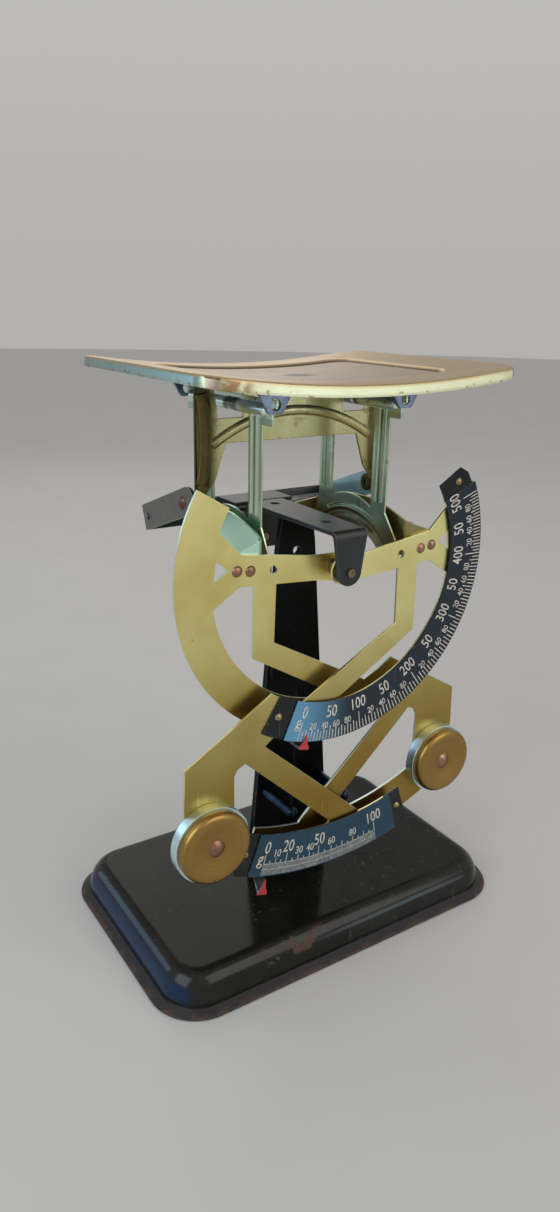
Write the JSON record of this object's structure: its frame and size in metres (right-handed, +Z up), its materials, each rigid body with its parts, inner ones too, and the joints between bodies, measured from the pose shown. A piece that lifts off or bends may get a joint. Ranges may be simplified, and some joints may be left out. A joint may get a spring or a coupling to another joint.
{
  "type": "letter balance",
  "caption": "Precision balance with a shallow pan above two counter-weighted quadrants that turn against each other and read on curved scales, on a black pressed base.",
  "frame": {"origin": "middle of the base, on the surface that it stands on", "axes": "+Z up, +X to the right along the base's long edge, -Y toward the reader of the scales"},
  "size_m": [0.15, 0.098, 0.2081],
  "materials": {
    "base_enamel": "gloss black enamel",
    "stand_black": "satin black enamel",
    "swing_black": "gloss black enamel",
    "black_pins": "gloss black enamel",
    "pin_steel": "aged steel",
    "copper_rivets": "brown copper",
    "scale_brass": "satin",
    "pointer_brass": "satin",
    "stirrup_brass": "satin",
    "disc_steel": "turned",
    "cap_brass": "turned",
    "scale_black": "gloss black with pale marks",
    "screw_brass": "worn",
    "pointer_black": "black with a red tip",
    "frame_brass": "satin",
    "arch_brass": "satin",
    "bracket_zinc": "zinc plated",
    "pan_brass": "satin, worn"
  },
  "bodies": {
    "stand": {"base_shell": "base_enamel", "column": "stand_black", "column_rivets": "black_pins", "top_bracket": "stand_black", "front_fulcrum_pin": "pin_steel", "rear_fulcrum_pin": "pin_steel", "guard_pins": "black_pins", "swing_shaft": "pin_steel"},
    "pan_carrier": {"pan": "pan_brass", "pan_bracket": "bracket_zinc", "arch_frame": "arch_brass"},
    "scale_quadrant": {"scale_plate": "scale_brass", "scale_stirrup": "stirrup_brass", "scale_rivets": "copper_rivets", "scale_weight_disc": "disc_steel", "scale_weight_cap": "cap_brass", "scale_weight_rivet": "copper_rivets", "upper_scale": "scale_black", "lower_scale": "scale_black", "scale_screws": "screw_brass"},
    "pointer_quadrant": {"pointer_plate": "pointer_brass", "pointer_stirrup": "stirrup_brass", "pointer_rivets": "copper_rivets", "pointer_weight_disc": "disc_steel", "pointer_weight_cap": "cap_brass", "pointer_weight_rivet": "copper_rivets", "upper_pointer": "pointer_black", "lower_pointer": "pointer_black"},
    "left_frame": {"left_side_frame": "frame_brass"},
    "right_frame": {"right_side_frame": "frame_brass"},
    "swing": {"swing_frame": "swing_black", "swing_rivets": "copper_rivets"}
  },
  "joints": [
    {"name": "pan_slide", "type": "slide", "parent": "stand", "child": "pan_carrier", "axis": [0, 0, 1], "range_m": [-0.0246, 0]},
    {"name": "scale_turn", "type": "hinge", "parent": "stand", "child": "scale_quadrant", "pos_m": [0, -0.02975, 0.1423], "axis": [0, 1, 0], "range_deg": [0, 64]},
    {"name": "pointer_turn", "type": "hinge", "parent": "stand", "child": "pointer_quadrant", "pos_m": [0, -0.0244, 0.1423], "axis": [0, -1, 0], "range_deg": [0, 64]},
    {"name": "left_frame_tilt", "type": "hinge", "parent": "pan_carrier", "child": "left_frame", "pos_m": [-0.0245, 0, 0.1967], "axis": [0, -1, 0], "range_deg": [0, 13]},
    {"name": "right_frame_tilt", "type": "hinge", "parent": "pan_carrier", "child": "right_frame", "pos_m": [0.0245, 0, 0.1967], "axis": [0, 1, 0], "range_deg": [0, 13]},
    {"name": "swing_turn", "type": "hinge", "parent": "stand", "child": "swing", "pos_m": [0, 0.0358, 0.1514], "axis": [1, 0, 0], "range_deg": [0, 48.5]}
  ],
  "couplings": [
    {"joint": "scale_turn", "follows": "pan_slide", "rad_per_m": -45.407},
    {"joint": "pointer_turn", "follows": "pan_slide", "rad_per_m": -45.407},
    {"joint": "left_frame_tilt", "follows": "pan_slide", "rad_per_m": -9.2233},
    {"joint": "right_frame_tilt", "follows": "pan_slide", "rad_per_m": -9.2233},
    {"joint": "swing_turn", "follows": "pan_slide", "rad_per_m": -34.41}
  ]
}
